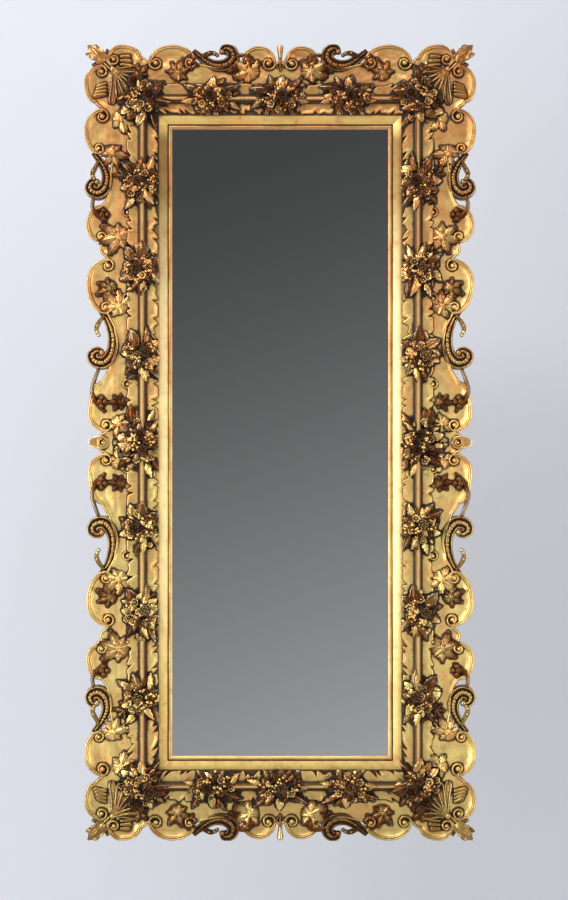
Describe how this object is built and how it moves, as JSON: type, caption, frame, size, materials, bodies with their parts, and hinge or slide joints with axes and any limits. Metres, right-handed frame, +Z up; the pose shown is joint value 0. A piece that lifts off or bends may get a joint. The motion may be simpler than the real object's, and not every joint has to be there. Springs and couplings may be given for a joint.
{
  "type": "dressing mirror",
  "caption": "Tall wall-hung dressing mirror in a carved, pierced and gilded wooden frame with scrolls, flower clusters, rods and leaf bands.",
  "frame": {"origin": "centre of the wall plane behind the mirror", "axes": "+Z up the long side, +Y into the wall, so the mirror faces -Y, and +X to the right as seen from the front"},
  "size_m": [0.886, 0.0983, 1.8],
  "materials": {
    "pine": "old planed pine, stained by age",
    "peg_wood": "cleft softwood",
    "carved_gilding": "carved wood, water gilding over red bole",
    "burnished_gilding": "burnished water gilding",
    "red_gilding": "gilding rubbed through to red bole",
    "toned_gilding": "carved wood, toned gilding",
    "mirror": "silvered plate",
    "felt": "wool felt",
    "backboard_pine": "rough sawn pine, darkened",
    "nail_iron": "dark iron",
    "zinc_steel": "zinc plated",
    "cork": "pressed cork"
  },
  "bodies": {
    "frame": {"stile_left": "pine", "stile_right": "pine", "back_rail_top": "pine", "back_rail_bottom": "pine", "lap_pegs": "peg_wood", "border_left": "carved_gilding", "border_right": "carved_gilding", "border_top": "carved_gilding", "border_bottom": "carved_gilding", "corner_shell_tl": "carved_gilding", "corner_shell_tr": "carved_gilding", "corner_shell_bl": "carved_gilding", "corner_shell_br": "carved_gilding", "leaf_band_left": "carved_gilding", "leaf_band_right": "carved_gilding", "leaf_band_top": "carved_gilding", "leaf_band_bottom": "carved_gilding", "rod_left": "burnished_gilding", "rod_right": "burnished_gilding", "rod_top": "burnished_gilding", "rod_bottom": "burnished_gilding", "sight_moulding_left": "burnished_gilding", "sight_moulding_right": "burnished_gilding", "sight_moulding_top": "burnished_gilding", "sight_moulding_bottom": "burnished_gilding", "sight_slip_left": "red_gilding", "sight_slip_right": "red_gilding", "sight_slip_top": "red_gilding", "sight_slip_bottom": "red_gilding", "corner_cluster_tl": "toned_gilding", "corner_cluster_tr": "toned_gilding", "corner_cluster_bl": "toned_gilding", "corner_cluster_br": "toned_gilding", "centre_cluster_left": "toned_gilding", "centre_cluster_right": "toned_gilding", "centre_cluster_top": "toned_gilding", "centre_cluster_bottom": "toned_gilding", "clusters_left_upper": "toned_gilding", "clusters_left_lower": "toned_gilding", "clusters_right_upper": "toned_gilding", "clusters_right_lower": "toned_gilding", "clusters_top": "toned_gilding", "clusters_bottom": "toned_gilding", "mirror_plate": "mirror", "backing_felt": "felt", "glazing_blocks": "peg_wood", "backboard_left": "backboard_pine", "backboard_centre": "backboard_pine", "backboard_right": "backboard_pine", "backboard_nails": "nail_iron", "strap_hanger_left": "zinc_steel", "strap_hanger_right": "zinc_steel", "hanger_screws": "zinc_steel", "wall_pads": "cork"},
    "left_ring": {"d_ring_left": "zinc_steel"},
    "right_ring": {"d_ring_right": "zinc_steel"}
  },
  "joints": [
    {"name": "left_ring_hinge", "type": "hinge", "parent": "frame", "child": "left_ring", "pos_m": [-0.307, -0.0044, 0.52], "axis": [1, 0, 0], "range_deg": [0, 180]},
    {"name": "right_ring_hinge", "type": "hinge", "parent": "frame", "child": "right_ring", "pos_m": [0.307, -0.0044, 0.52], "axis": [1, 0, 0], "range_deg": [0, 180]}
  ]
}
